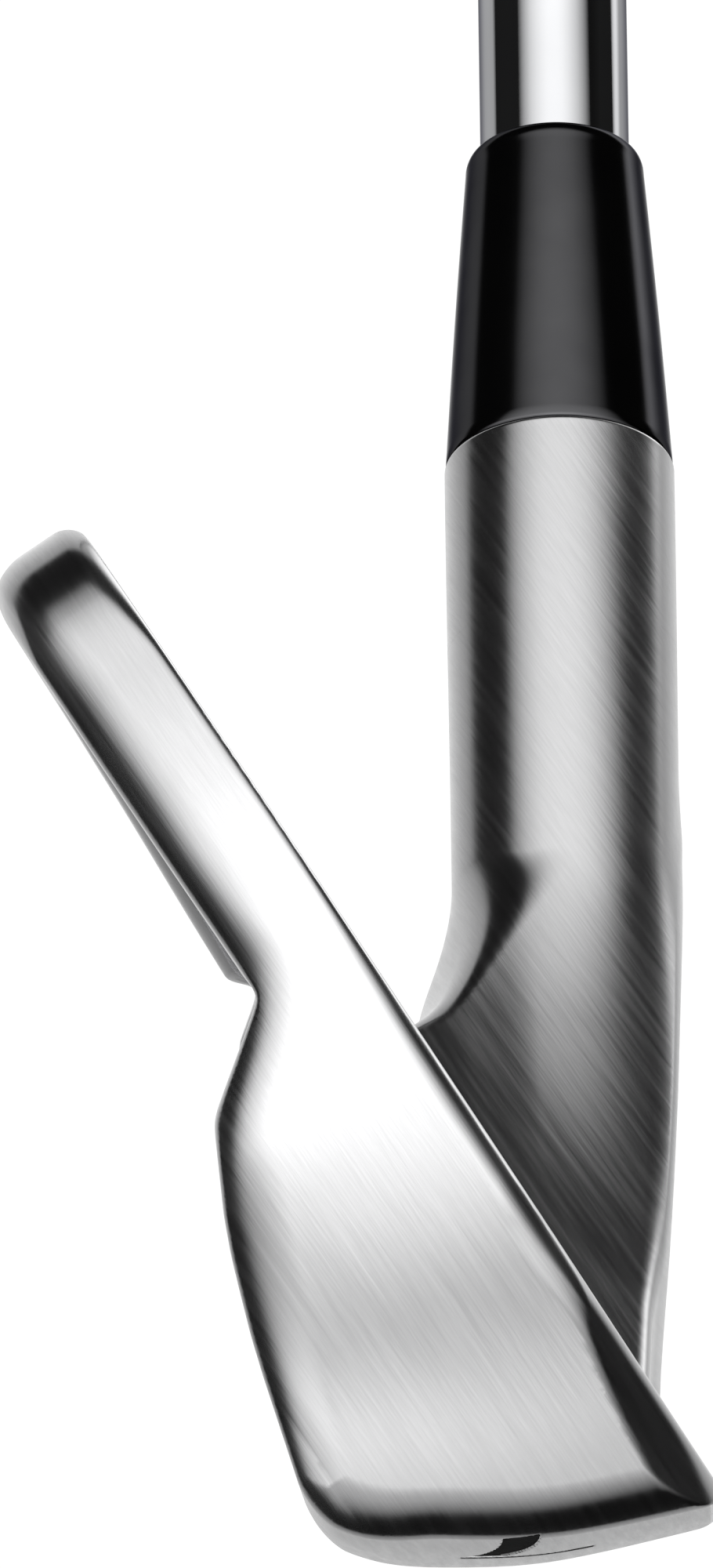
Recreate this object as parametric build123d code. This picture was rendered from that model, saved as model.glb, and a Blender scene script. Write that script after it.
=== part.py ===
from build123d import *
from math import sin, cos, tan, radians, pi
import os

os.makedirs("parts", exist_ok=True)

# ---------------------------------------------------------------- dimensions (mm, degrees)
# Right-handed 7-iron at address: +X runs from heel to toe, +Y towards the target, +Z up.
# Origin: where the shaft axis meets the ground.
lie = 63.0                 # shaft axis above the ground
loft_angle = 34.0                # face plane from the vertical
club_length = 940.0        # ground to the top of the grip cap, along the shaft

face_y = 9.54              # where the face plane meets the ground
sole_radius = 250.0        # heel-to-toe camber of the sole
sole_low_x = 30.0          # lowest point of the sole

cavity_floor = 2.7         # blade thickness left behind the face

groove_count = 13
groove_pitch = 3.55
groove_h0 = 8.6
groove_w = 0.8
groove_depth = 0.4
num_x, num_y = 57.0, -4.45    # middle of the numeral's bar on the sole
num_depth = 0.6
num_gap = 0.15

hosel_top = 71.3           # along the axis from the ground
hosel_r_top = 6.98
hosel_r_low = 6.85
bore_r = 4.75
bore_depth = 32.0

ferrule_len = 22.3
ferrule_r_low = 6.93
ferrule_r_top = 5.48
ferrule_edge = 0.7

tip_r = 4.51               # 0.355 in taper tip
tip_taper_r = 4.70         # radius where the tip taper ends
tip_taper_len = 95.0
step_start = 205.0         # first shaft step, from the tip
step_pitch = 38.0
step_count = 11
butt_r = 7.62              # 0.600 in butt
wall_tip = 0.65
wall_butt = 0.36

grip_len = 268.0
tape_t = 0.25
grip_mouth_r = 9.3
cap_len = 10.0
cap_t = 4.0
vent_r = 1.5

badge_tape_t = 0.5
badge_t = 1.4
cap_r = 13.8

a = Vector(-cos(radians(lie)), 0, sin(radians(lie)))       # up the shaft
L = radians(loft_angle)
n = Vector(0, cos(L), sin(L))                              # out of the face


def on_axis(s):
    """Plane across the shaft, s mm up its axis from the ground."""
    return Plane(origin=a * s, x_dir=(0, 1, 0), z_dir=a)


def turned(points, s=0.0):
    """Solid turned about the shaft axis from (radius, height) points."""
    with BuildPart() as p:
        with BuildSketch(Plane.XZ):
            with BuildLine():
                Polyline(*points, close=True)
            make_face()
        revolve(axis=Axis.Z)
    return on_axis(s).location * p.part


# ---------------------------------------------------------------- head
# Toe-view section (Y, Z): face at the front, thin blade above, thick muscle and sole below.
def fp(d, h):
    """Point (Y, Z) at depth d behind the face plane and h up the face."""
    return (face_y - h * sin(L) - d * cos(L), h * cos(L) - d * sin(L))


upper = Polyline(fp(20.4, 11.0), fp(21.5, 2.0), fp(21.5, -12), fp(0, -12), fp(0, 76), fp(5.85, 76),
                 fp(5.95, 42.2), fp(11.5, 38.2))
back = Spline(fp(11.5, 38.2), fp(12.95, 35.5), fp(14.75, 31.75), fp(16.25, 27.6), fp(17.55, 23.2),
              fp(18.75, 19.0), fp(19.9, 14.5), fp(20.4, 11.0))
blade = extrude(Plane.YZ.offset(-22) * make_face([upper, back]), 104)

# Outline in the face plane (X, h up the face): leading edge, toe, topline, heel.
face_plane = Plane(origin=(0, face_y, 0), x_dir=(1, 0, 0), z_dir=-n)
toe_curve = Spline((46.0, -8.5), (62.0, -3.2), (71.6, 15.6), (74.9, 31.5), (74.9, 45.0), (71.7, 56.0),
                   (67.0, 64.6), (60.3, 68.6), (52.0, 66.1), tangents=((1, 0.02), (-0.881, -0.473)))
top_line = Line((52.0, 66.1), (6.0, 41.6))
heel_top = Polyline((6.0, 41.6), (-3.0, 36.2), (-8.0, 33.9), (-13.0, 33.3), (-24.0, 33.3))
heel_side = Polyline((-24.0, 33.3), (-24.0, -8.5), (46.0, -8.5))
outline = make_face([toe_curve, top_line, heel_top, heel_side])
blade = blade & extrude(face_plane * outline, 30)

# Sole: cambered front to back, and turned heel to toe about a high axis.
sole_pts = [(-34, 11.5), (-19.5, 3.6), (-14.5, 1.25), (-10.5, 0.2), (-6.6, 0.0), (-2.0, 0.35),
            (2.2, 1.15), (6.0, 2.35), (12, 4.8)]
sole_face = make_face([Spline(*sole_pts), Polyline((12, 4.8), (12, 100), (-34, 100), (-34, 11.5))])
sole_axis = Axis((sole_low_x, 0, sole_radius), (0, 1, 0))
sole_solid = revolve(Plane.YZ.offset(sole_low_x) * sole_face, axis=sole_axis, revolution_arc=60)
sole_solid = sole_solid.rotate(sole_axis, -30)
blade = blade & sole_solid

# Heel: the back of the blade narrows to the hosel along lines parallel to the shaft.
back_cut = Spline((-4.6, 12.0), (-7.05, 1.5), (-9.2, -7.0), (-14.0, -15.5), (-22.5, -23.5), (-38.0, -30.0))
heel_side_face = make_face([back_cut, Polyline((-38.0, -30.0), (-38.0, -110.0), (40.0, -110.0), (40.0, 12.0), (-4.6, 12.0))])
heel_keep = extrude(on_axis(-30) * heel_side_face, 130)
blade = blade & heel_keep

# Hosel, one piece with the head; its lower end runs down the heel.
hosel = turned([(0, -6), (hosel_r_low, -6), (hosel_r_low, 40), (hosel_r_top, hosel_top - 0.3),
                (hosel_r_top - 0.3, hosel_top), (0, hosel_top)])
hosel = hosel & sole_solid
head = blade + hosel
heel_curve = Spline((-21.5, 25.5), (-17.3, 15.5), (-10.5, 7.0), (-1.5, 1.9), (10.0, 0.0), (16.0, -0.6))
heel_face = make_face([heel_curve, Polyline((16.0, -0.6), (110, -0.6), (110, 110), (-70, 110), (-70, 25.5), (-21.5, 25.5))])
heel_front = extrude(Plane.XZ.offset(-30) * heel_face, 80)
head = (head & heel_front).solids()[0]


def edges_at(shape, *points):
    """The edges of the shape that run through the given points."""
    found = []
    for p in points:
        e = min(shape.edges(), key=lambda e: e.distance_to(Vector(*p)))
        if not any(e.is_same(o) for o in found):
            found.append(e)
    return found


def at(x, d, h):
    y, z = fp(d, h)
    return (x, y, z)


# Rounded edges: rim round the toe with the trailing edge and the step, then the step's inner corner.
head = head.fillet(2.0, edges_at(head, at(74.9, 14.9, 31.5), at(72.2, 19.5, 17.0), (66.5, -6.0, 2.6),
                                 (43.8, -15.0, 1.8), (43.8, -21.1, 25.2)))
head = head.fillet(1.2, edges_at(head, (41.5, -19.3, 30.7)))

# Bevel that trims the toe into the leading edge.
bevel_p = (72.4, -1.88, 14.0)
bevel_n = (0.717, 0.695, 0.042)
head = head - Plane(origin=bevel_p, z_dir=bevel_n).location * Pos(0, 0, 15) * Box(90, 90, 30)

# Web: slopes from the front of the hosel down to the face.
web = extrude(Plane.YZ * make_face(Polyline(
    (4.4, 4.1), (4.45, 7.8), (5.3, 16.4), (6.15, 25.6), (6.5, 31.75), (-9.5, 30.15),
    fp(2.0, 34.0), close=True)), 32, both=True)
web_slope = Plane(origin=(-5.4, 2.0, 22.6), z_dir=(0.62, 0.42, 0.66))
web = web & (web_slope.location * Pos(0, 0, -60) * Box(200, 200, 120))
web = web & (Plane(origin=(0, 0, 0), z_dir=(-sin(radians(lie)), 0, -cos(radians(lie)))).location * Pos(0, 0, -60) * Box(200, 200, 120))
web = web & heel_front
web = web & sole_solid

# Neck: carries the round hosel into the flat blade.
neck_sec = Plane.YZ.offset(9) * make_face(Polyline(
    fp(0.15, 5.0), fp(0.15, 38.5), fp(5.5, 39.5), fp(6.2, 36), fp(9.5, 30.5), fp(9.6, 14.0), close=True))
neck = loft([on_axis(44) * Circle(hosel_r_low - 0.02).face(), neck_sec.face()])
head = (head + neck).solids()[0]
head = (head + web).solids()[0]

# Cavity in the back: floor close behind the face, open to the back and up to the muscle wall.
cavity = extrude(face_plane.offset(cavity_floor) * make_face(Polyline(
    (9, 19), (60, 19), (68.0, 31), (68.6, 46), (64.0, 58.0), (59, 62.0), (53, 60.8), (9, 37.1), close=True)), 30)
upright = [e for e in cavity.edges() if abs(abs((e % 0.5).dot(n)) - 1) < 0.01]
cavity = cavity.solids()[0].fillet(3.0, upright)
head = (head - cavity).solids()[0]
bore = turned([(0, hosel_top - bore_depth), (bore_r, hosel_top - bore_depth), (bore_r, hosel_top + 5), (0, hosel_top + 5)])
head = (head - bore).solids()[0]

# Score lines across the face.
groove_x0, groove_x1 = 13.0, 61.0
grooves = []
for k in range(groove_count):
    h = groove_h0 + k * groove_pitch
    x1 = groove_x1 if h > 13.5 else groove_x1 - 5.0 if h > 11.0 else groove_x1 - 11.0
    x0 = groove_x0 if h < 39.0 else groove_x0 + (h - 39.0) / 0.5366
    g = SlotCenterToCenter(x1 - x0, groove_w)
    grooves.append(extrude(face_plane.offset(-0.5) * Location(((x0 + x1) / 2, h, 0)) * g, 0.5 + groove_depth))
for g in grooves:
    head = head - g
head = head.solids()[0]

# Engraved numeral on the sole near the toe, filled with paint.
num = make_face([
    Line((-3.5, 0.0), (3.5, 0.0)), Line((3.5, 0.0), (3.5, -0.9)),
    Spline((3.5, -0.9), (1.95, -5.0), (1.55, -11.4), tangents=((-0.72, -0.69), (0, -1))),
    Line((1.55, -11.4), (-0.35, -11.4)),
    Spline((-0.35, -11.4), (0.05, -5.2), (1.5, -1.2), tangents=((0, 1), (0.72, 0.69))),
    Polyline((1.5, -1.2), (-3.5, -1.2), (-3.5, 0.0))])
num_plane = Plane(origin=(num_x, num_y, -3), x_dir=(0, -1, 0), z_dir=(0, 0, -1))
num_tool = extrude(num_plane * num, -12)
sole_deeper = Pos(0, 0, num_depth) * sole_solid
cut = (num_tool & head) - sole_deeper
head = (head - cut).solids()[0]
fill = (cut & (Pos(0, 0, num_gap) * sole_solid)).solids()[0]

# ---------------------------------------------------------------- shaft and bond
tip_s = hosel_top - bore_depth + 0.8
shaft_len = club_length - cap_t - tip_s
outer = [(tip_r, 0), (tip_taper_r, tip_taper_len)]
step_dr = (butt_r - tip_taper_r) / step_count
for k in range(step_count):
    z = step_start + k * step_pitch
    outer += [(tip_taper_r + k * step_dr, z), (tip_taper_r + (k + 1) * step_dr, z + 1.2)]
outer += [(butt_r, shaft_len)]
inner = [(butt_r - wall_butt, shaft_len), (butt_r - wall_butt, step_start + step_count * step_pitch),
         (tip_taper_r - wall_tip, step_start), (tip_r - wall_tip, 0)]
shaft = turned(outer + inner, tip_s)

epoxy = turned([(tip_r, 0), (bore_r, 0), (bore_r, hosel_top - tip_s), (tip_r + (tip_taper_r - tip_r) * (hosel_top - tip_s) / tip_taper_len, hosel_top - tip_s)], tip_s)
weight = turned([(0, -0.4), (3.4, -0.4), (3.4, 0), (tip_r - wall_tip, 0), (tip_r - wall_tip, 14), (3.0, 15.5), (0, 15.5)], tip_s)



def r_at(s):
    """Radius of the shaft's tapered tip, s mm up the axis."""
    return tip_r + (tip_taper_r - tip_r) * (s - tip_s) / tip_taper_len


fb = ferrule_r_low
ferrule = turned([(r_at(hosel_top), 0), (fb - 0.15, 0), (fb, 0.15),
                  (ferrule_r_top, ferrule_len - 1.2), (ferrule_r_top - 0.18, ferrule_len - 0.6), (ferrule_r_top - 0.5, ferrule_len - 0.15),
                  (ferrule_r_top - 0.66, ferrule_len), (r_at(hosel_top + ferrule_len), ferrule_len)], hosel_top)

# Plain label band, wrapped round the shaft below the grip.
band_s = club_length - grip_len - 75.0
k_band = int((band_s - tip_s - step_start) // step_pitch) + 1
band_r = tip_taper_r + k_band * step_dr
band = turned([(band_r, 0), (band_r + 0.12, 0), (band_r + 0.12, 24), (band_r, 24)], band_s)

# ---------------------------------------------------------------- grip
grip_s = club_length - grip_len
butt_s = club_length - cap_t                     # top of the shaft and the tape
tape = turned([(butt_r, 0), (butt_r + tape_t, 0), (butt_r + tape_t, butt_s - grip_s - 4), (butt_r, butt_s - grip_s - 4)], grip_s + 4)
cap_s = club_length - cap_len
gl = cap_s - grip_s
grip = turned([(butt_r, 0), (grip_mouth_r - 0.8, 0), (grip_mouth_r, 1.2), (grip_mouth_r + 0.05, 22), (10.0, 95), (10.75, 165),
               (11.5, 212), (12.1, 236), (12.9, gl - 6), (cap_r - 0.3, gl),
               (butt_r + tape_t, gl), (butt_r + tape_t, 4), (butt_r, 4)], grip_s)
cap = turned([(butt_r + tape_t, 0), (cap_r, 0), (cap_r, cap_len - 1.5), (cap_r - 0.45, cap_len - 0.45), (cap_r - 1.5, cap_len),
              (vent_r, cap_len), (vent_r, cap_len - cap_t), (butt_r + tape_t, cap_len - cap_t)], cap_s)

# ---------------------------------------------------------------- badge in the cavity
badge_outline = make_face(Polyline((14, 24), (57.5, 24), (64.0, 33.5), (64.5, 45.5), (60.5, 55.6), (57.5, 57.4),
                                   (53, 56.0), (14, 35.2), close=True))
badge_outline = fillet(badge_outline.vertices(), 1.8)
badge_tape = extrude(face_plane.offset(cavity_floor) * badge_outline, badge_tape_t)
badge = extrude(face_plane.offset(cavity_floor + badge_tape_t) * badge_outline, badge_t)
badge = badge.solids()[0]
badge = badge.fillet(0.35, badge.faces().sort_by(Axis((0, 0, 0), tuple(-n)))[-1].edges())

# ---------------------------------------------------------------- write
parts = {
    "iron_head": head, "sole_number_fill": fill, "ferrule": ferrule, "shaft": shaft,
    "hosel_epoxy": epoxy, "tip_weight_pin": weight, "shaft_band": band, "grip_tape": tape,
    "grip_sleeve": grip, "grip_end_cap": cap, "cavity_badge": badge, "badge_tape": badge_tape,
}
for name, shape in parts.items():
    solids = shape.solids()
    export_step(solids[0] if len(solids) == 1 else Compound(children=solids), f"parts/{name}.step")
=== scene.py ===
import bpy
import math
import numpy as np
from mathutils import Vector, Matrix


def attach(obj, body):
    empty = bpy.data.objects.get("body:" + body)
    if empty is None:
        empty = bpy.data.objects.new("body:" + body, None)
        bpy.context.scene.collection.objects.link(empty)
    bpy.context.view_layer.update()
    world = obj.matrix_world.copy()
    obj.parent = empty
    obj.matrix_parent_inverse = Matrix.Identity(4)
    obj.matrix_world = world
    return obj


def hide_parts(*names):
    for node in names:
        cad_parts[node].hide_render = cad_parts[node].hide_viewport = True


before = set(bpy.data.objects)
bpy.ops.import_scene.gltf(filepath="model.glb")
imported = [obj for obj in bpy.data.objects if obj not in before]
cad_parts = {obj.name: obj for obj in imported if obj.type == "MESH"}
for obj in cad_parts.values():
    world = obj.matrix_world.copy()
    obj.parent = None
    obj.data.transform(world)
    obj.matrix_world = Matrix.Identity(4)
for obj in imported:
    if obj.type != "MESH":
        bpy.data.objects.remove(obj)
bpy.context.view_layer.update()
MM = 0.001

# ------------------------------------------------------------------ the club's numbers (mm)
LIE = math.radians(63.0)
LOFT = math.radians(34.0)
CL, SL = math.cos(LOFT), math.sin(LOFT)
AX, AZ = -math.cos(LIE), math.sin(LIE)          # shaft axis, in the XZ plane
FACE_Y = 9.54
HOSEL_TOP = 71.3
BORE_S = 39.3
NET_TOP = 60.0                                  # above this the hosel is turned, not netted


def smax(a, b, r):
    """Intersection of two solids with its edge rounded to radius r."""
    return np.minimum(np.maximum(a, b), -r) + np.hypot(np.maximum(a + r, 0), np.maximum(b + r, 0))


def smin(a, b, r):
    """Union of two solids with a fillet of radius r."""
    return np.maximum(np.minimum(a, b), r) - np.hypot(np.maximum(r - a, 0), np.maximum(r - b, 0))


def step(x, a, b):
    t = np.clip((x - a) / (b - a), 0, 1)
    return t * t * (3 - 2 * t)


def table(pts, lo, hi, sigma, n=4096):
    """A smoothed curve y(x) and its slope, from a few points."""
    x = np.linspace(lo, hi, n)
    px, py = zip(*sorted(pts))
    y = np.interp(x, px, py)
    dx = x[1] - x[0]
    k = int(4 * sigma / dx) + 1
    g = np.exp(-0.5 * (np.arange(-k, k + 1) * dx / sigma) ** 2)
    g /= g.sum()
    y = np.convolve(np.pad(y, k, mode="reflect", reflect_type="odd"), g, mode="valid")
    return x, y, np.gradient(y, x)


def smooth_path(pts, closed=False, n=24):
    """Catmull-Rom points through the given ones (centripetal enough for even spacing)."""
    p = np.array(pts, float)
    if closed:
        p = np.vstack([p[-1], p, p[0], p[1]])
    else:
        p = np.vstack([2 * p[0] - p[1], p, 2 * p[-1] - p[-2]])
    out = []
    for i in range(1, len(p) - 2):
        p0, p1, p2, p3 = p[i - 1:i + 3]
        t0 = 0.0
        t1 = t0 + np.linalg.norm(p1 - p0) ** 0.5
        t2 = t1 + np.linalg.norm(p2 - p1) ** 0.5
        t3 = t2 + np.linalg.norm(p3 - p2) ** 0.5
        t = np.linspace(t1, t2, n, endpoint=False)[:, None]
        a1 = (t1 - t) / (t1 - t0) * p0 + (t - t0) / (t1 - t0) * p1
        a2 = (t2 - t) / (t2 - t1) * p1 + (t - t1) / (t2 - t1) * p2
        a3 = (t3 - t) / (t3 - t2) * p2 + (t - t2) / (t3 - t2) * p3
        b1 = (t2 - t) / (t2 - t0) * a1 + (t - t0) / (t2 - t0) * a2
        b2 = (t3 - t) / (t3 - t1) * a2 + (t - t1) / (t3 - t1) * a3
        out.append((t2 - t) / (t2 - t1) * b1 + (t - t1) / (t2 - t1) * b2)
    if not closed:
        out.append(p[-2][None, :])
    return np.vstack(out)


class Shape2D:
    """Signed distance to a closed outline, on a fine grid, read back with a smooth cubic."""

    def __init__(self, poly, lo, hi, cell=0.25):
        poly = np.asarray(poly, float)
        self.lo, self.cell = np.array(lo, float), cell
        nx = int((hi[0] - lo[0]) / cell) + 2
        ny = int((hi[1] - lo[1]) / cell) + 2
        gx = lo[0] + np.arange(nx) * cell
        gy = lo[1] + np.arange(ny) * cell
        P = np.stack(np.meshgrid(gx, gy, indexing="ij"), -1).reshape(-1, 2)
        a, b = poly, np.roll(poly, -1, 0)
        d2 = np.full(len(P), 1e18)
        inside = np.zeros(len(P), bool)
        for p, q in zip(a, b):
            e = q - p
            L2 = e @ e
            if L2 < 1e-12:
                continue
            t = np.clip(((P - p) @ e) / L2, 0, 1)
            r = P - p - t[:, None] * e
            np.minimum(d2, (r * r).sum(1), out=d2)
            if p[1] != q[1]:
                c = (P[:, 1] < max(p[1], q[1])) & (P[:, 1] >= min(p[1], q[1]))
                inside ^= c & (P[:, 0] < p[0] + (P[:, 1] - p[1]) / (q[1] - p[1]) * (q[0] - p[0]))
        self.g = (np.sqrt(d2) * np.where(inside, -1, 1)).reshape(nx, ny).astype(np.float64)

    def __call__(self, x, y):
        fx = np.clip((x - self.lo[0]) / self.cell, 1.001, self.g.shape[0] - 3.001)
        fy = np.clip((y - self.lo[1]) / self.cell, 1.001, self.g.shape[1] - 3.001)
        ix, iy = fx.astype(np.int32), fy.astype(np.int32)
        tx, ty = fx - ix, fy - iy

        def w(t):
            return (-0.5 * t + t * t - 0.5 * t ** 3, 1 - 2.5 * t * t + 1.5 * t ** 3,
                    0.5 * t + 2 * t * t - 1.5 * t ** 3, -0.5 * t * t + 0.5 * t ** 3)
        wx, wy = w(tx), w(ty)
        ny = self.g.shape[1]
        flat = self.g.ravel()
        base = (ix - 1) * ny + iy - 1
        out = np.zeros_like(fx)
        for i in range(4):
            row = np.zeros_like(fx)
            for j in range(4):
                row += wy[j] * flat[base + i * ny + j]
            out += wx[i] * row
        return out


# Face outline, (X, h up the face): leading edge, toe, topline, neck, heel.
toe_pts = [(30.0, -9.0), (48.0, -8.5), (58.0, -6.5), (64.3, -0.6), (68.2, 7.2), (71.6, 15.6), (73.7, 23.2), (74.9, 31.5), (75.3, 38.5), (74.9, 45.0), (73.5, 51.0), (71.9, 55.4),
           (69.7, 60.2), (67.3, 64.6), (65.4, 66.8), (63.4, 68.1), (60.5, 68.8), (57.5, 68.5), (53.5, 66.95), (50.0, 65.1), (46.0, 63.0)]
outline = np.vstack([smooth_path(toe_pts), [(8.0, 42.7), (4.0, 40.4), (0.0, 37.9), (-4.0, 35.4), (-8.0, 33.9), (-13.0, 33.3), (-30.0, 33.3), (-30.0, -9.0), (24.0, -9.0)]])
OUT = Shape2D(outline, (-34, -12), (80, 74))

# Back of the head: depth behind the face against height up the face.
back_pts = [(-12, 21.0), (8, 20.6), (14, 20.0), (16.6, 19.4), (18.1, 19.0), (20.9, 18.2), (23.2, 17.55), (25.5, 16.9), (27.6, 16.25),
            (29.7, 15.5), (31.75, 14.75), (33.7, 13.9), (35.5, 12.95), (37.4, 11.95), (38.2, 11.5), (42.2, 5.98),
            (44.0, 5.92), (49.6, 5.95), (57.4, 5.96), (65.4, 5.88), (80, 5.8)]
BH, BD, BS = table(back_pts, -14, 80, 0.30)
BK = Shape2D(np.vstack([np.stack([BD[::12], BH[::12]], 1), [(BD[-1], 80.5), (-40.0, 80.5), (-40.0, -14.5), (BD[0], -14.5)]]), (-36, -12), (26, 76), 0.3)

BH2, BD2, _ = table(back_pts, -14, 80, 1.5)
BK2 = Shape2D(np.vstack([np.stack([BD2[::12], BH2[::12]], 1), [(BD2[-1], 80.5), (-40.0, 80.5), (-40.0, -14.5), (BD2[0], -14.5)]]), (-36, -12), (26, 76), 0.3)

# Sole, front to back.
sole_pts = [(-40, 16.5), (-24, 7.0), (-19.5, 3.85), (-16.5, 2.1), (-14.0, 0.84), (-12.0, 0.20), (-10.0, 0.02), (-7.6, 0.0), (-5.0, 0.06),
            (-2.8, 0.28), (-1.0, 0.62), (1.0, 1.05), (3.7, 1.70), (6.0, 2.25), (9.0, 3.2), (14.0, 5.2)]
SY, SZ, SS = table(sole_pts, -42, 16, 0.9)

# Back of the heel: a curve across the shaft axis, carried along it.  (Y, q), q away from the toe
heel_back = np.vstack([smooth_path([(-4.0, 12.0), (-6.6, 4.5), (-7.4, -1.0), (-9.4, -7.5), (-14.0, -15.0), (-21.0, -22.0), (-30.0, -27.5), (-40.0, -30.5)]),
                       [(-40.0, -110.0), (40.0, -110.0), (40.0, 12.0)]])
HB = Shape2D(heel_back, (-44, -112), (14, 44), 0.3)

# Heel, seen from the front.  (X, Z)
heel_curve = np.vstack([smooth_path([(-24.5, 33.0), (-21.4, 25.5), (-17.0, 15.6), (-11.5, 8.2), (-5.0, 3.4), (3.0, 0.9), (12.0, -0.4), (22.0, -2.0)]),
                        [(22.0, -9.0), (110.0, -9.0), (110.0, 110.0), (-95.0, 110.0), (-50.0, 78.0)]])
HC = Shape2D(heel_curve, (-44, -10), (80, 74), 0.3)

# How far forward the heel reaches at each height.
FZ = [0.0, 7.8, 9.6, 11.9, 16.4, 21.0, 25.6, 30.2, 34.9, 39.5, 44.0, 48.0, 80.0]
FY = [4.7, 4.75, 4.85, 5.05, 5.49, 5.87, 6.22, 6.50, 6.80, 7.1, 8.0, 10.0, 30.0]

# Cavity in the back.  (X, h)
cav_poly = [(9, 19), (60, 19), (68.0, 31), (68.6, 46), (64.0, 58.0), (59, 62.0), (53, 60.8), (9, 37.1)]
CAV = Shape2D(cav_poly, (-34, -12), (80, 74))
CAV_FLOOR = 2.7

# Bevel between the toe wall and the leading edge.
W_P = np.array([72.4, -1.88, 14.0])
W_N = np.array([0.717, 0.695, 0.042])
W_N = W_N / np.linalg.norm(W_N)

# Numeral on the sole.  (r, t): r towards the back of the club, t towards the toe.
num_poly = np.vstack([[(-3.55, 0.0), (3.55, 0.0), (3.55, 0.62)],
                      smooth_path([(3.5, 0.95), (2.6, 2.6), (1.95, 5.0), (1.6, 8.2), (1.57, 11.4)]),
                      [(-0.37, 11.4)],
                      smooth_path([(-0.37, 11.4), (-0.27, 8.0), (0.1, 4.9), (0.8, 2.5), (1.5, 1.15)]),
                      [(-3.55, 1.15)]])
NUM = Shape2D(num_poly, (-6, -3), (6, 14), 0.08)
NUM_X, NUM_Y = 57.0, -4.45

GROOVES = []
for k in range(13):
    gh = 8.6 + 3.55 * k
    gx1 = 61.0 if gh > 13.5 else 56.0 if gh > 11.0 else 50.0
    gx0 = 13.0 if gh < 39.0 else 13.0 + (gh - 39.0) / 0.5366
    GROOVES.append((gh, gx0, gx1))


def to_face(Y, Z):
    return -((Y - FACE_Y) * CL + Z * SL), -(Y - FACE_Y) * SL + Z * CL      # depth, height


def from_face(h, d):
    return FACE_Y - h * SL - d * CL, h * CL - d * SL


def head_sdf(X, Y, Z, fine=True):
    d, h = to_face(Y, Z)
    s = AX * X + AZ * Z                      # along the shaft axis
    q = -(AZ * X - AX * Z)                   # across it, away from the toe
    rad = np.hypot(Y, q)
    away = np.clip(75 - X, 0, 55)
    back = BK(d - away * (0.003 + 0.010 * step(-h, -62, -43)) * step(h, 42.2, 44.0) + 0.008 * away * step(h, 28, 34) * step(-h, -44.0, -42.2), h)
    ze = 250.0 - np.hypot(X - 30.0, 250.0 - Z)
    yc = np.clip(Y, SY[0], SY[-1])
    sole = (np.interp(yc, SY, SZ) - ze) / np.sqrt(1 + np.interp(yc, SY, SS) ** 2)
    sole = sole - 0.75 * step(X, 46, 68) * step(-Y, 9, 15)
    outl = OUT(X, h)
    hcv = HC(X, Z)
    blade = smax(back, sole, 1.2)
    blade = smax(blade, HB(Y, q), 4.0)
    outl = outl + (0.0037 + 0.0020 * step(d, 7.5, 12)) * (np.clip(d, -1, 17) - 7.5) ** 2 * step(-h, -44, -34)
    core = blade + (smax(BK2(d, h), sole, 1.5) - blade) * step(outl, -10, -4)
    rt = 4.3 - 1.5 * step(-Z, -19, -2) - 0.7 * step(h, 61, 67)
    blade = smax(smax(core - (0.19 + 0.06 * step(h, 54, 64)) * rt, outl, rt), blade, 0.2 + 0.7 * step(h, 63, 67))
    blade = smax(blade, hcv, 3.0)
    blade = smax(blade, np.sum([(X - W_P[0]) * W_N[0], (Y - W_P[1]) * W_N[1], (Z - W_P[2]) * W_N[2]], axis=0), 0.2 + 1.4 * step(Z, 13.5, 20))
    rf = 0.65 + 0.9 * step(-h, -50, -30) * step(h, 17, 28) + 2.5 * step(-h, -11, 1) + 0.9 * step(h, 60, 66)
    df = d + 0.0060 * (h - 30.0)
    blade = smax(smax(blade, -df - 0.06 * rf, rf), -df, 0.12)
    r = 6.85 + 0.15 * step(s, 42, 71) - 1.5 * step(-s, -30, -2)
    hosel = smax(rad - r, s - HOSEL_TOP, 0.25)
    hosel = smax(hosel, hcv, 3.0)
    hosel = smax(hosel, sole, 2.5)
    web = (X + 5.4) * 0.62 + (Y - 2.0) * 0.42 + (Z - 24.3) * 0.66
    web = smax(web, Z * 0.995 - Y * 0.1 - 30.95 - 0.6 * (np.hypot(Y + 7.5, 1) + Y + 7.5), 0.8)
    web = smax(smax(web, hcv, 3.0), smax(HB(Y, q), sole, 2.0), 2.0)
    web = smax(smax(web, d - 2.0, 1.0), q, 1.5)
    web = smax(web, (Y - np.interp(Z, FZ, FY)) * 0.99 + 0.8, 1.0)
    body = smin(blade, web, 0.4)
    body = smin(body, hosel, 2.0 + 3.2 * step(-d, -3.0, 1.0) + 1.5 * step(-Y, 2, 6))
    front = np.interp(Z, FZ, FY) + 0.05 + 2.2 * step(X, 8, 34)
    body = smax(body, (Y - front) * 0.99, 0.5)
    cav = smax(CAV(X, h), CAV_FLOOR - d, 1.0)
    body = smax(body, -cav, 0.7)
    if fine:
        num = NUM(-(Y - NUM_Y), X - NUM_X)
        body = smax(body, -np.maximum(num, -sole - 0.6), 0.12)
        near = df < 1.5
        if near.any():
            g = np.full_like(d, 1e3)
            for gh, x0, x1 in GROOVES:
                cx = np.clip(X, x0, x1)
                g = np.minimum(g, np.maximum(np.hypot(X - cx, h - gh) - 0.42 + 0.25 * np.abs(df), df - 0.4))
            body = np.maximum(body, -g)
    bore = np.maximum(rad - 4.75, BORE_S - s)
    return np.maximum(np.maximum(body, -bore), s - NET_TOP)


def axis_grid(parts):
    """Grid lines from (start, end, step) runs, one after the other."""
    out = [parts[0][0]]
    for a, b, c in parts:
        n = max(1, int(round((b - a) / c)))
        out += list(a + (b - a) * (np.arange(n) + 1) / n)
    return np.array(out)


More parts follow.
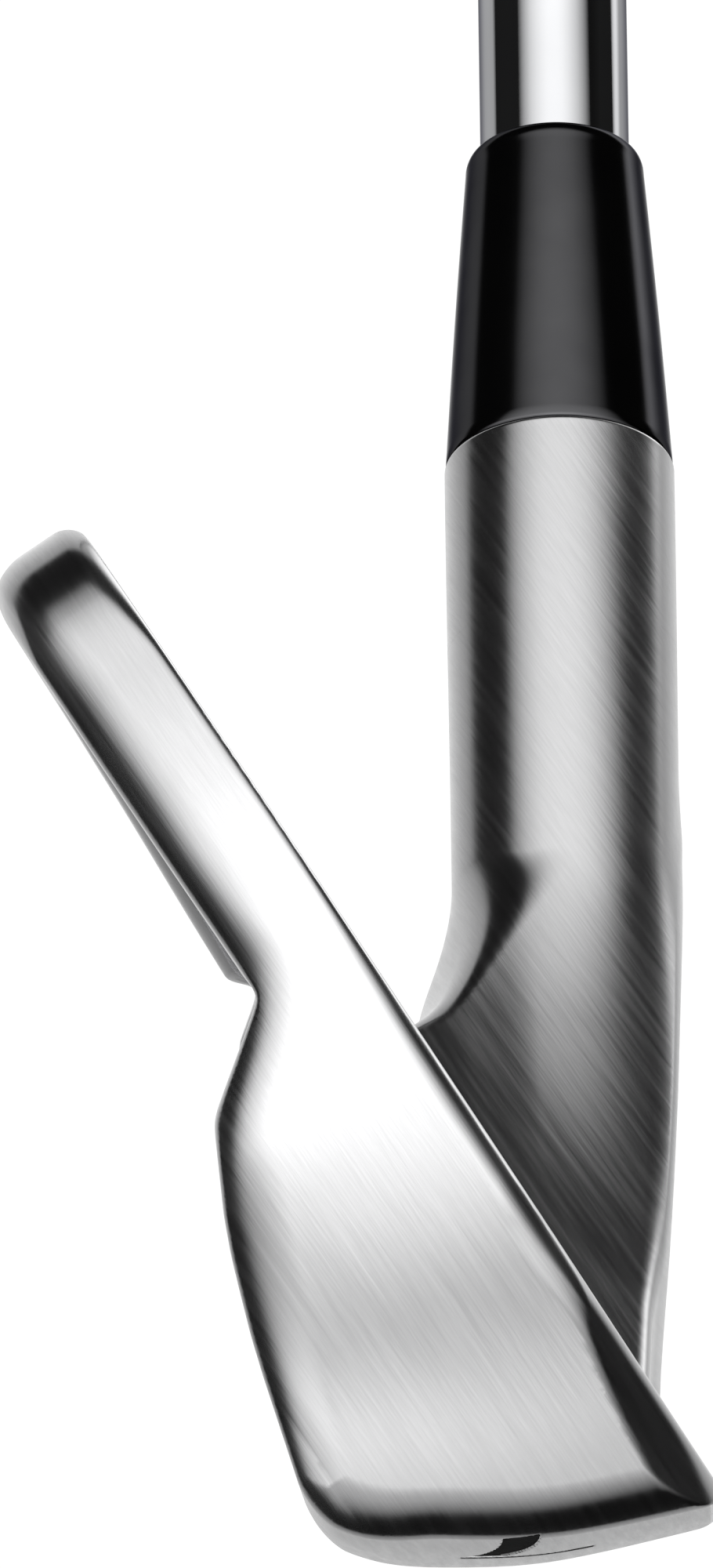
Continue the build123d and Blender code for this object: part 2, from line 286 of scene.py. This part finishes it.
def polygonise(f, gu, gv, gw, to_xyz, B=4):
    """Surface nets over a box grid, evaluated only near the surface; each vertex at the mean of its cell's edge
    crossings.
    """
    def pad(g):
        n = (-(len(g) - 1)) % B
        return np.append(g, g[-1] + (g[-1] - g[-2]) * (np.arange(n) + 1))
    gu, gv, gw = pad(gu), pad(gv), pad(gw)
    nu, nv, nw = len(gu), len(gv), len(gw)
    cu, cv, cw = gu[::B], gv[::B], gw[::B]
    U, V, W = np.meshgrid(cu, cv, cw, indexing="ij")
    C = f(*to_xyz(U, V, W), fine=False)
    su = np.diff(cu)[:, None, None] ** 2 + np.diff(cv)[None, :, None] ** 2 + np.diff(cw)[None, None, :] ** 2
    diag = np.sqrt(su)
    mn = np.full(su.shape, np.inf)
    same = np.zeros(su.shape, int)
    for i in (0, 1):
        for j in (0, 1):
            for k in (0, 1):
                c = C[i:i + su.shape[0], j:j + su.shape[1], k:k + su.shape[2]]
                mn = np.minimum(mn, np.abs(c))
                same += c < 0
    act = (mn < diag * 0.95 + 0.6) | ((same > 0) & (same < 8))
    F = np.ones((nu, nv, nw), np.float32)
    # fill far regions with the sign of the coarse grid
    sgn = np.where(C[:-1, :-1, :-1] < 0, -1.0, 1.0).astype(np.float32)
    F[:-1, :-1, :-1] = np.repeat(np.repeat(np.repeat(sgn, B, 0), B, 1), B, 2)
    need = np.zeros((nu, nv, nw), bool)
    bi, bj, bk = np.nonzero(act)
    for i in range(B + 1):
        for j in range(B + 1):
            for k in range(B + 1):
                need[bi * B + i, bj * B + j, bk * B + k] = True
    I, J, K = np.nonzero(need)
    for c0 in range(0, len(I), 400000):
        sl = slice(c0, c0 + 400000)
        F[I[sl], J[sl], K[sl]] = f(*to_xyz(gu[I[sl]], gv[J[sl]], gw[K[sl]]))
    neg = F < 0
    cnt = np.zeros((nu - 1, nv - 1, nw - 1), np.uint8)
    for i in (0, 1):
        for j in (0, 1):
            for k in (0, 1):
                cnt += neg[i:nu - 1 + i, j:nv - 1 + j, k:nw - 1 + k]
    A = (cnt > 0) & (cnt < 8)
    ci, cj, ck = np.nonzero(A)
    idx = np.full(A.shape, -1, np.int32)
    idx[ci, cj, ck] = np.arange(len(ci))
    acc = np.zeros((len(ci), 3))
    num = np.zeros(len(ci))
    corners = [(i, j, k) for i in (0, 1) for j in (0, 1) for k in (0, 1)]
    vals = {c: F[ci + c[0], cj + c[1], ck + c[2]].astype(float) for c in corners}
    pos = {c: np.stack([gu[ci + c[0]], gv[cj + c[1]], gw[ck + c[2]]], 1) for c in corners}
    for c in corners:
        for ax in range(3):
            if c[ax] == 0:
                e = list(c); e[ax] = 1; e = tuple(e)
                m = (vals[c] < 0) != (vals[e] < 0)
                t = np.where(m, vals[c] / np.where(m, vals[c] - vals[e], 1), 0)
                acc += np.where(m[:, None], pos[c] + t[:, None] * (pos[e] - pos[c]), 0)
                num += m
    P = acc / num[:, None]
    quads = []
    for ax in range(3):
        o = [slice(None)] * 3; p = [slice(None)] * 3
        o[ax] = slice(0, -1); p[ax] = slice(1, None)
        ch = neg[tuple(o)] != neg[tuple(p)]
        i, j, k = np.nonzero(ch)
        g = [i, j, k]
        b, c = [(1, 2), (2, 0), (0, 1)][ax]
        ok = (g[b] > 0) & (g[c] > 0) & (g[b] < A.shape[b]) & (g[c] < A.shape[c])
        g = [x[ok] for x in g]
        first_in = neg[g[0], g[1], g[2]]

        def cell(db, dc):
            q = [x.copy() for x in g]
            q[b] += db; q[c] += dc
            return idx[q[0], q[1], q[2]]
        q = np.stack([cell(-1, -1), cell(0, -1), cell(0, 0), cell(-1, 0)], 1)
        q[~first_in] = q[~first_in][:, ::-1]
        quads.append(q)
    quads = np.vstack(quads)
    quads = quads[(quads >= 0).all(1)]
    x, y, z = to_xyz(P[:, 0], P[:, 1], P[:, 2])
    V3 = np.stack([x, y, z], 1)
    return V3, quads


def gradient(f, V, e=0.02):
    g = np.empty_like(V)
    for a in range(3):
        o = np.zeros(3); o[a] = e
        p, m = V + o, V - o
        g[:, a] = (f(p[:, 0], p[:, 1], p[:, 2]) - f(m[:, 0], m[:, 1], m[:, 2])) / (2 * e)
    return g


def settle(f, V, rounds=3, limit=0.25):
    for _ in range(rounds):
        v = f(V[:, 0], V[:, 1], V[:, 2])
        g = gradient(f, V)
        n2 = np.maximum((g * g).sum(1), 0.2)
        st = -(v / n2)[:, None] * g
        l = np.linalg.norm(st, axis=1)
        st *= np.minimum(1, limit / np.maximum(l, 1e-9))[:, None]
        V = V + st
    return V


def mesh_object(name, V, F, normals=None, smooth=True):
    me = bpy.data.meshes.new(name)
    V = np.asarray(V, np.float64) * MM
    F = np.asarray(F)
    n = F.shape[1]
    me.vertices.add(len(V))
    me.vertices.foreach_set("co", V.ravel())
    me.loops.add(F.size)
    me.loops.foreach_set("vertex_index", F.ravel().astype(np.int32))
    me.polygons.add(len(F))
    me.polygons.foreach_set("loop_start", np.arange(0, F.size, n, dtype=np.int32))
    me.polygons.foreach_set("loop_total", np.full(len(F), n, np.int32))
    me.update(calc_edges=True)
    me.validate()
    if smooth:
        me.shade_smooth()
    if normals is not None and len(me.vertices) == len(V):
        me.normals_split_custom_set_from_vertices([tuple(x) for x in normals])
    ob = bpy.data.objects.new(name, me)
    bpy.context.scene.collection.objects.link(ob)
    return ob


# ------------------------------------------------------------------ materials
def new_mat(name):
    m = bpy.data.materials.new(name)
    m.use_nodes = True
    t = m.node_tree
    b = t.nodes["Principled BSDF"]
    return m, t, b


def node(t, kind, **kw):
    n = t.nodes.new(kind)
    for k, v in kw.items():
        if k in n.inputs:
            n.inputs[k].default_value = v
        else:
            setattr(n, k, v)
    return n


def ramp(t, fac, stops):
    r = t.nodes.new("ShaderNodeValToRGB")
    e = r.color_ramp.elements
    e[0].position, e[0].color = stops[0][0], (*[stops[0][1]] * 3, 1) if not isinstance(stops[0][1], tuple) else (*stops[0][1], 1)
    e[1].position, e[1].color = stops[-1][0], (*[stops[-1][1]] * 3, 1) if not isinstance(stops[-1][1], tuple) else (*stops[-1][1], 1)
    for p, c in stops[1:-1]:
        x = e.new(p)
        x.color = (*[c] * 3, 1) if not isinstance(c, tuple) else (*c, 1)
    t.links.new(fac, r.inputs[0])
    return r.outputs[0]


def maths(t, op, a, b=None, c=None, clamp=False):
    n = t.nodes.new("ShaderNodeMath")
    n.operation = op
    n.use_clamp = clamp
    for i, x in enumerate((a, b, c)):
        if x is None:
            continue
        if isinstance(x, (int, float)):
            n.inputs[i].default_value = x
        else:
            t.links.new(x, n.inputs[i])
    return n.outputs[0]


def stretched(t, rot, scale, detail=2.0, rough=0.6, w=0.0):
    """Noise drawn out along one direction: object coordinates turned, then scaled per axis."""
    tc = t.nodes.new("ShaderNodeTexCoord")
    m1 = node(t, "ShaderNodeMapping")
    m1.inputs["Rotation"].default_value = rot
    t.links.new(tc.outputs["Object"], m1.inputs["Vector"])
    m2 = node(t, "ShaderNodeMapping")
    m2.inputs["Scale"].default_value = scale
    m2.inputs["Location"].default_value = (w, w * 0.7, w * 1.3)
    t.links.new(m1.outputs[0], m2.inputs["Vector"])
    nz = node(t, "ShaderNodeTexNoise")
    nz.inputs["Scale"].default_value = 1.0
    nz.inputs["Detail"].default_value = detail
    nz.inputs["Roughness"].default_value = rough
    t.links.new(m2.outputs[0], nz.inputs["Vector"])
    return nz.outputs[0]


def brushed_steel(name="brushed_steel", base=(0.60, 0.60, 0.605), rough=0.20):
    m, t, b = new_mat(name)
    # grain lies along (0, 0.565, -0.825): turn about X so that it becomes +Y
    ang = math.atan2(0.825, 0.565)
    geo = t.nodes.new("ShaderNodeNewGeometry")
    dot = t.nodes.new("ShaderNodeVectorMath")
    dot.operation = "DOT_PRODUCT"
    dot.inputs[1].default_value = (0.0, 0.825, 0.565)
    t.links.new(geo.outputs["Normal"], dot.inputs[0])
    facing = maths(t, "MULTIPLY_ADD", maths(t, "ABSOLUTE", dot.outputs["Value"]), 6.0, -4.6, clamp=True)

    def pair(fx, ft, det, rg, w_):
        a_ = stretched(t, (ang, 0, 0), (ft * 1.5, ft, fx), det, rg, w_)
        b_ = stretched(t, (ang, 0, 0), (fx, ft, fx), det, rg, w_ + 5)
        return maths(t, "ADD", maths(t, "MULTIPLY", a_, maths(t, "SUBTRACT", 1.0, facing)), maths(t, "MULTIPLY", b_, facing))
    fine = pair(7500, 320, 3.0, 0.65, 0.0)
    mid = pair(2600, 90, 2.0, 0.6, 3.0)
    wide = pair(420, 12, 2.0, 0.5, 7.0)
    cloud = stretched(t, (0, 0, 0), (60, 60, 60), 3.0, 0.5, 1.0)
    tone = maths(t, "ADD", maths(t, "MULTIPLY", maths(t, "SUBTRACT", fine, 0.5), 0.22),
                 maths(t, "MULTIPLY", maths(t, "SUBTRACT", mid, 0.5), 0.10))
    tone = maths(t, "ADD", tone, maths(t, "MULTIPLY", maths(t, "SUBTRACT", wide, 0.5), 0.03))
    tone = maths(t, "ADD", tone, maths(t, "MULTIPLY", maths(t, "SUBTRACT", cloud, 0.5), 0.03))
    tone = maths(t, "ADD", tone, 1.0)
    mix = t.nodes.new("ShaderNodeVectorMath"); mix.operation = "SCALE"
    mix.inputs[0].default_value = base
    t.links.new(tone, mix.inputs["Scale"])
    t.links.new(mix.outputs[0], b.inputs["Base Color"])
    r = maths(t, "ADD", maths(t, "MULTIPLY", maths(t, "SUBTRACT", mid, 0.5), 0.14), rough)
    r = maths(t, "ADD", r, maths(t, "MULTIPLY", maths(t, "SUBTRACT", cloud, 0.5), 0.06), clamp=True)
    t.links.new(r, b.inputs["Roughness"])
    h = maths(t, "ADD", maths(t, "MULTIPLY", fine, 0.5), maths(t, "MULTIPLY", mid, 1.0))
    bp = node(t, "ShaderNodeBump")
    bp.inputs["Strength"].default_value = 0.5
    bp.inputs["Distance"].default_value = 0.000012
    t.links.new(h, bp.inputs["Height"])
    t.links.new(bp.outputs[0], b.inputs["Normal"])
    tan = t.nodes.new("ShaderNodeVectorMath")
    tan.operation = "CROSS_PRODUCT"
    t.links.new(geo.outputs["Normal"], tan.inputs[0])
    tan.inputs[1].default_value = (0.05, 0.565, -0.825)
    t.links.new(tan.outputs["Vector"], b.inputs["Tangent"])
    b.inputs["Anisotropic"].default_value = 0.7
    b.inputs["Metallic"].default_value = 1.0
    return m


def chrome():
    m, t, b = new_mat("polished_chrome")
    cloud = stretched(t, (0, 0, 0), (90, 90, 90), 3.0, 0.5)
    fine = stretched(t, (0, 0, 0), (2600, 2600, 2600), 2.0, 0.5)
    col = ramp(t, cloud, [(0.3, (0.78, 0.785, 0.80)), (0.7, (0.84, 0.845, 0.86))])
    t.links.new(col, b.inputs["Base Color"])
    r = maths(t, "ADD", maths(t, "MULTIPLY", cloud, 0.03), 0.025)
    t.links.new(r, b.inputs["Roughness"])
    bp = node(t, "ShaderNodeBump")
    bp.inputs["Strength"].default_value = 0.05
    bp.inputs["Distance"].default_value = 0.00001
    t.links.new(fine, bp.inputs["Height"])
    t.links.new(bp.outputs[0], b.inputs["Normal"])
    b.inputs["Metallic"].default_value = 1.0
    b.inputs["Specular Tint"].default_value = (0.16, 0.16, 0.18, 1)
    return m


def gloss_black():
    m, t, b = new_mat("gloss_black_plastic")
    cloud = stretched(t, (0, 0, 0), (140, 140, 140), 3.0, 0.55)
    fine = stretched(t, (0, 0, 0), (3000, 3000, 3000), 2.0, 0.5)
    col = ramp(t, cloud, [(0.35, (0.088, 0.088, 0.092)), (0.65, (0.104, 0.104, 0.108))])
    t.links.new(col, b.inputs["Base Color"])
    r = maths(t, "ADD", maths(t, "MULTIPLY", cloud, 0.05), 0.10)
    t.links.new(r, b.inputs["Roughness"])
    bp = node(t, "ShaderNodeBump")
    bp.inputs["Strength"].default_value = 0.06
    bp.inputs["Distance"].default_value = 0.00001
    t.links.new(fine, bp.inputs["Height"])
    t.links.new(bp.outputs[0], b.inputs["Normal"])
    b.inputs["Metallic"].default_value = 1.0
    b.inputs["Specular Tint"].default_value = (0.30, 0.30, 0.31, 1)
    return m


def plain_detail(name, c0, c1, rough, scale=400, bump=0.2, dist=0.00005, metallic=0.0):
    m, t, b = new_mat(name)
    cloud = stretched(t, (0, 0, 0), (scale * 0.2,) * 3, 3.0, 0.55)
    fine = stretched(t, (0, 0, 0), (scale * 4,) * 3, 3.0, 0.6, 2.0)
    col = ramp(t, cloud, [(0.3, c0), (0.7, c1)])
    t.links.new(col, b.inputs["Base Color"])
    r = maths(t, "ADD", maths(t, "MULTIPLY", maths(t, "SUBTRACT", fine, 0.5), 0.15), rough, clamp=True)
    t.links.new(r, b.inputs["Roughness"])
    bp = node(t, "ShaderNodeBump")
    bp.inputs["Strength"].default_value = bump
    bp.inputs["Distance"].default_value = dist
    t.links.new(fine, bp.inputs["Height"])
    t.links.new(bp.outputs[0], b.inputs["Normal"])
    b.inputs["Metallic"].default_value = metallic
    return m


def give(name, mat):
    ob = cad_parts[name]
    if isinstance(ob, str):
        ob = bpy.data.objects[ob]
    ob.data.materials.clear()
    ob.data.materials.append(mat)
    return ob


steel = brushed_steel()
shaft_chrome = chrome()
black_gloss = gloss_black()

# ------------------------------------------------------------------ head
cell = 0.34
gu = axis_grid([(-42, 55.5, cell), (55.5, 69.5, cell * 0.45), (69.5, 78, cell)])
gv = axis_grid([(-3, 5.5, cell * 0.62), (5.5, 12.5, cell * 0.45), (12.5, 71, cell * 0.62)])
gw = axis_grid([(-34, -0.6, cell), (-0.6, 0.9, cell * 0.36), (0.9, 5.0, cell * 0.8), (5.0, 14.0, cell * 0.5), (14.0, 23, cell * 0.8)])


def face_to_xyz(u, v, w):
    y, z = from_face(v, w)
    return u, y, z


def on_shaft(s, r, a):
    """Point r from the shaft axis at angle a, s up from the ground (mm)."""
    # across the shaft: +Y and the direction that faces the toe and up
    return np.stack([AX * s + AZ * r * np.cos(a), r * np.sin(a), AZ * s - AX * r * np.cos(a)], -1)


def turned(profile, n=160, closed=True):
    """Lathe points and quads about the shaft axis from (r, s) points."""
    a = np.arange(n) * 2 * np.pi / n
    rings = [on_shaft(np.full(n, s), r, a) for r, s in profile]
    V = np.vstack(rings)
    m = len(profile)
    F = []
    for j in range(m if closed else m - 1):
        k = (j + 1) % m
        i0 = np.arange(n)
        i1 = (i0 + 1) % n
        F.append(np.stack([j * n + i0, j * n + i1, k * n + i1, k * n + i0], 1))
    return V, np.vstack(F)


def profile_normals(profile, n):
    p = np.array(profile)
    e = np.roll(p, -1, 0) - p
    e /= np.maximum(np.linalg.norm(e, axis=1), 1e-9)[:, None]
    nr = np.stack([e[:, 1], -e[:, 0]], 1)
    nv = nr + np.roll(nr, 1, 0)
    nv /= np.maximum(np.linalg.norm(nv, axis=1), 1e-9)[:, None]
    a = np.arange(n) * 2 * np.pi / n
    out = []
    for r_, s_ in nv:
        out.append(np.stack([AX * s_ + AZ * r_ * np.cos(a), r_ * np.sin(a), AZ * s_ - AX * r_ * np.cos(a)], -1))
    return np.vstack(out)


HV, HQ = polygonise(head_sdf, gu, gv, gw, face_to_xyz)
HV = settle(head_sdf, HV)
HN = gradient(head_sdf, HV, 0.03)
HN /= np.linalg.norm(HN, axis=1)[:, None]


def hosel_r(v):
    return float(6.85 + 0.15 * step(np.array(v), 42, 71)) + 0.0015


arc = [(7.0 - 0.22 + 0.22 * math.cos(t), HOSEL_TOP - 0.22 + 0.22 * math.sin(t)) for t in np.linspace(0, math.pi / 2, 7)]
ring = [(4.75, NET_TOP - 1.5), (6.80, NET_TOP - 1.5), (hosel_r(NET_TOP - 1.48), NET_TOP - 1.48), (hosel_r(NET_TOP - 1.2), NET_TOP - 1.2)]
ring += [(hosel_r(v), v) for v in np.linspace(NET_TOP - 0.6, HOSEL_TOP - 0.8, 15)]
ring += [(6.999, HOSEL_TOP - 0.3)] + arc + [(5.2, HOSEL_TOP), (4.75, HOSEL_TOP - 0.15)]
LV, LQ = turned(ring, 200)
LN = profile_normals(ring, 200)
for j_ in (1, 2):
    LN[j_ * 200:(j_ + 1) * 200] = LN[3 * 200:4 * 200]
HQ = np.vstack([HQ, LQ + len(HV)])
HV = np.vstack([HV, LV])
HN = np.vstack([HN, LN])
head = mesh_object("head_forging", HV, HQ, HN)
head.data.materials.append(steel)
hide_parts("iron_head")
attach(head, "root")

give("shaft", shaft_chrome)


# ------------------------------------------------------------------ turned plastic and rubber
def densify(profile, gap):
    out = []
    m = len(profile)
    for j in range(m):
        p, q_ = np.array(profile[j]), np.array(profile[(j + 1) % m])
        k = max(1, int(np.ceil(np.linalg.norm(q_ - p) / gap)))
        out += [tuple(p + (q_ - p) * i / k) for i in range(k)]
    return out


def turned_piece(name, profile, n, mat, cad_node):
    V, F = turned(profile, n)
    ob = mesh_object(name, V, F, profile_normals(profile, n))
    ob.data.materials.append(mat)
    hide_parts(cad_node)
    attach(ob, "root")
    return ob


FL = 21.7
shoulder = [(5.04 + 0.47 * math.cos(t), HOSEL_TOP + FL - 0.95 + 0.95 * math.sin(t)) for t in np.linspace(0, math.pi / 2, 14)]
fer = [(4.62, HOSEL_TOP + 0.02), (6.70, HOSEL_TOP + 0.02), (6.84, HOSEL_TOP + 0.05), (6.90, HOSEL_TOP + 0.12), (6.93, HOSEL_TOP + 0.24)]
fer += [(6.93 + (5.51 - 6.93) * v + 0.05 * math.sin(math.pi * v), HOSEL_TOP + 0.24 + (FL - 1.19) * v) for v in np.linspace(0.03, 0.98, 24)]
fer += shoulder + [(4.64, HOSEL_TOP + FL - 0.05)]
turned_piece("ferrule_collar", fer, 200, black_gloss, "ferrule")

GRIP_S, GRIP_L = 672.0, 258.0
gx = [0.0, 0.15, 0.5, 1.2, 22, 95, 165, 212, 236, GRIP_L - 6, GRIP_L - 1.2, GRIP_L - 0.3, GRIP_L]
gr = [8.5, 8.9, 9.2, 9.3, 9.35, 10.0, 10.75, 11.5, 12.1, 12.9, 13.35, 13.42, 13.2]
n_g = 232
sv = np.concatenate([[0.0, 0.15, 0.5, 0.9, 1.3], np.arange(1.8, GRIP_L - 1.4, 0.44), [GRIP_L - 1.2, GRIP_L - 0.7, GRIP_L - 0.3, GRIP_L]])
av = np.arange(n_g) * 2 * np.pi / n_g
S_, A_ = np.meshgrid(sv, av, indexing="ij")
R_ = np.interp(S_, gx, gr)
ridge = np.minimum(np.abs(np.sin(13 * A_ + S_ * 0.62)), np.abs(np.sin(13 * A_ - S_ * 0.62)))
mask = step(S_, 12, 14) * step(-S_, -(GRIP_L - 12), -(GRIP_L - 14))
for c_ in (70.0, 130.0, 190.0):
    mask = mask * step(np.abs(S_ - c_), 2.2, 3.0)
window = step(np.hypot((S_ - 218.0) / 20.0, ((A_ + np.pi) % (2 * np.pi) - np.pi) / 0.42), 0.9, 1.0)
line_a = np.abs(((A_ + np.pi) % (2 * np.pi)) - np.pi) * R_
R_ = R_ - 0.42 * mask * window * step(-ridge, -0.34, -0.12)
for c_ in (70.0, 130.0, 190.0):
    R_ = R_ - 0.35 * step(-np.abs(np.abs(S_ - c_) - 1.1), -0.55, -0.15)
R_ = R_ - 0.3 * step(-np.abs(S_ - 10.0), -0.9, -0.3) - 0.3 * step(-np.abs(S_ - 7.6), -0.9, -0.3)
gv_ = np.stack([AX * (GRIP_S + S_) + AZ * R_ * np.cos(A_), R_ * np.sin(A_), AZ * (GRIP_S + S_) - AX * R_ * np.cos(A_)], -1).reshape(-1, 3)
m_s = len(sv)
inner = [(7.9, GRIP_L - 0.1), (7.88, 4.0), (7.65, 4.0), (7.65, 0.1)]
iv = [on_shaft(np.full(n_g, GRIP_S + s_), r_, av) for r_, s_ in inner]
gv_ = np.vstack([gv_] + iv)
m_all = m_s + len(inner)
gq = []
for j in range(m_all):
    k = (j + 1) % m_all
    i0 = np.arange(n_g)
    i1 = (i0 + 1) % n_g
    gq.append(np.stack([j * n_g + i0, j * n_g + i1, k * n_g + i1, k * n_g + i0], 1))
rubber = plain_detail("grip_rubber", (0.012, 0.012, 0.012), (0.022, 0.022, 0.022), 0.62, 500, 0.6, 0.00008)
grip_ob = mesh_object("grip_moulding", gv_, np.vstack(gq))
grip_ob.data.materials.append(rubber)
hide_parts("grip_sleeve")
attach(grip_ob, "root")

CAP_S = 930.0
cap_prof = [(7.9, 0.02), (13.1, 0.02), (13.5, 0.05), (13.68, 0.16), (13.8, 0.4), (13.8, 2.2), (13.62, 2.45), (13.62, 2.75), (13.8, 3.0), (13.8, 7.6)]
cap_prof += [(13.8 - 2.2 + 2.2 * math.cos(t), 7.8 + 2.2 * math.sin(t)) for t in np.linspace(0, math.pi / 2, 12)]
cap_prof += [(10.6, 10.0), (10.4, 9.9), (10.2, 9.6), (9.8, 9.6), (9.6, 9.9), (9.4, 10.0), (5.2, 10.0), (5.0, 9.9), (4.8, 9.6), (4.4, 9.6), (4.2, 9.9), (4.0, 10.0), (1.7, 10.0), (1.5, 9.85), (1.5, 6.0), (1.7, 6.0), (7.7, 6.0), (7.9, 5.9)]
cap_prof = [(r_, CAP_S + s_) for r_, s_ in cap_prof]
turned_piece("grip_cap_moulding", cap_prof, 120, plain_detail("cap_rubber", (0.014, 0.014, 0.014), (0.02, 0.02, 0.02), 0.5, 500, 0.4, 0.00006), "grip_end_cap")
fill = give("sole_number_fill", plain_detail("number_paint", (0.004, 0.004, 0.004), (0.008, 0.008, 0.008), 0.8))
fill.data.materials[0].node_tree.nodes["Principled BSDF"].inputs["Specular IOR Level"].default_value = 0.04
give("hosel_epoxy", plain_detail("epoxy_resin", (0.42, 0.36, 0.22), (0.5, 0.45, 0.3), 0.4))
give("tip_weight_pin", plain_detail("turned_brass", (0.60, 0.44, 0.18), (0.68, 0.52, 0.24), 0.3, metallic=1.0))
give("shaft_band", plain_detail("band_film", (0.10, 0.105, 0.115), (0.13, 0.135, 0.145), 0.35))
give("grip_tape", plain_detail("paper_tape", (0.62, 0.60, 0.52), (0.7, 0.68, 0.6), 0.8))
give("cavity_badge", plain_detail("badge_aluminium", (0.10, 0.105, 0.11), (0.14, 0.145, 0.15), 0.32, 900, 0.2, 0.00003, metallic=1.0))
give("badge_tape", plain_detail("foam_tape", (0.02, 0.02, 0.02), (0.035, 0.035, 0.035), 0.85))

# ------------------------------------------------------------------ stage, light, camera
sc = bpy.context.scene
sc.view_settings.view_transform = "Standard"
sc.view_settings.look = "None"
world = bpy.data.worlds.new("studio")
sc.world = world
world.use_nodes = True
wt = world.node_tree
bg = wt.nodes["Background"]
tc = wt.nodes.new("ShaderNodeTexCoord")
sep = wt.nodes.new("ShaderNodeSeparateXYZ")
wt.links.new(tc.outputs["Generated"], sep.inputs[0])
px = maths(wt, "MULTIPLY_ADD", sep.outputs[0], 0.5, 0.5)
pz = maths(wt, "MULTIPLY_ADD", sep.outputs[2], 0.5, 0.5)


def at(v):
    return v * 0.5 + 0.5


ring = ramp(wt, px, [(0.0, 1.0), (at(-0.9), 0.82), (at(-0.7), 0.58), (at(-0.49), 0.42), (at(-0.40), 0.012), (at(0.18), 0.012), (at(0.27), 0.40), (at(0.38), 0.74), (at(0.52), 1.0), (1.0, 1.0)])
front = ramp(wt, pz, [(at(-1), 0.22), (at(-0.76), 0.30), (at(-0.62), 0.48), (at(-0.54), 0.78), (at(-0.47), 0.56), (at(-0.40), 0.38), (at(-0.32), 0.34), (at(-0.23), 0.56), (at(-0.14), 0.86),
                      (at(-0.05), 0.97), (at(0.05), 1.0), (at(0.30), 0.97), (at(0.42), 0.88), (at(0.58), 0.82), (at(0.72), 0.64), (at(0.85), 0.54), (1.0, 0.52)])
side = ramp(wt, px, [(0.0, 0.0), (at(-0.05), 0.0), (at(0.15), 1.0), (1.0, 1.0)])
yy = maths(wt, "MULTIPLY", sep.outputs[1], sep.outputs[1])
yp = maths(wt, "MAXIMUM", sep.outputs[1], 0.0)
fall = maths(wt, "ADD", maths(wt, "MULTIPLY_ADD", yy, -0.70, 1.0), maths(wt, "MULTIPLY", maths(wt, "MULTIPLY", yp, yp), -0.45), clamp=True)
low = maths(wt, "MULTIPLY_ADD", maths(wt, "MULTIPLY", sep.outputs[2], -4.0, clamp=True), -0.38, 1.0)
fr = maths(wt, "ADD", maths(wt, "MULTIPLY", side, maths(wt, "MULTIPLY", maths(wt, "MULTIPLY", front, 2.15), fall)),
           maths(wt, "MULTIPLY", maths(wt, "SUBTRACT", 1.0, side), low))
val = maths(wt, "MULTIPLY", ring, fr)
fy = maths(wt, "MULTIPLY_ADD", sep.outputs[1], 5.0, -1.0, clamp=True)
fz = maths(wt, "MULTIPLY_ADD", sep.outputs[2], 7.0, -1.6, clamp=True)
corner = maths(wt, "MULTIPLY", fy, fz)
lit = maths(wt, "MULTIPLY", corner, maths(wt, "MULTIPLY_ADD", sep.outputs[0], -6.0, -2.4, clamp=True))
val = maths(wt, "ADD", val, maths(wt, "MULTIPLY", lit, 1.3))
wt.links.new(val, bg.inputs["Color"])
bg.inputs["Strength"].default_value = 1.0

# pale sweep: floor, and a round wall that only the camera sees
def stage_piece(name, me, mat):
    ob = bpy.data.objects.new(name, me)
    sc.collection.objects.link(ob)
    ob.data.materials.append(mat)
    ob.visible_glossy = False
    ob.visible_diffuse = False
    ob.visible_shadow = False
    return ob


wall_mat = bpy.data.materials.new("sweep_white")
wall_mat.use_nodes = True
tt = wall_mat.node_tree
tt.nodes.remove(tt.nodes["Principled BSDF"])
em = tt.nodes.new("ShaderNodeEmission")
em.inputs["Color"].default_value = (1, 1, 1, 1)
em.inputs["Strength"].default_value = 1.05
tt.links.new(em.outputs[0], tt.nodes["Material Output"].inputs["Surface"])
n_a = 96
vs, fs = [], []
prof = [(0.0, -0.30), (16.0, -0.30), (25.0, -0.27), (33.0, 0.6), (38.0, 3.0), (41.0, 8.0), (42.0, 16.0), (39.0, 28.0), (27.0, 40.0), (0.0, 46.0)]
for i in range(n_a):
    for r_, z_ in prof:
        a_ = 2 * math.pi * i / n_a
        vs.append((r_ * math.cos(a_), r_ * math.sin(a_), z_))
for i in range(n_a):
    for j in range(len(prof) - 1):
        a0 = i * len(prof) + j
        b0 = ((i + 1) % n_a) * len(prof) + j
        fs.append((a0, b0, b0 + 1, a0 + 1))
me = bpy.data.meshes.new("sweep")
me.from_pydata(vs, [], fs)
me.validate()
me.shade_smooth()
stage_piece("sweep", me, wall_mat)

cam_data = bpy.data.cameras.new("camera")
cam_data.lens = 288.0
cam_data.sensor_width = 36.0
cam_data.sensor_fit = "AUTO"
cam_data.clip_start = 0.01
cam_data.clip_end = 150.0
cam = bpy.data.objects.new("camera", cam_data)
sc.collection.objects.link(cam)
CAM = Vector((0.731, -0.0231, 0.03255))
look = Vector((-1.0, 225.0 / 16000.0, 250.0 / 16000.0)).normalized()
right = look.cross(Vector((0, 0, 1))).normalized()
up = right.cross(look)
rot = Matrix((right, up, -look)).transposed()
cam.matrix_world = Matrix.Translation(CAM) @ rot.to_4x4()
sc.camera = cam
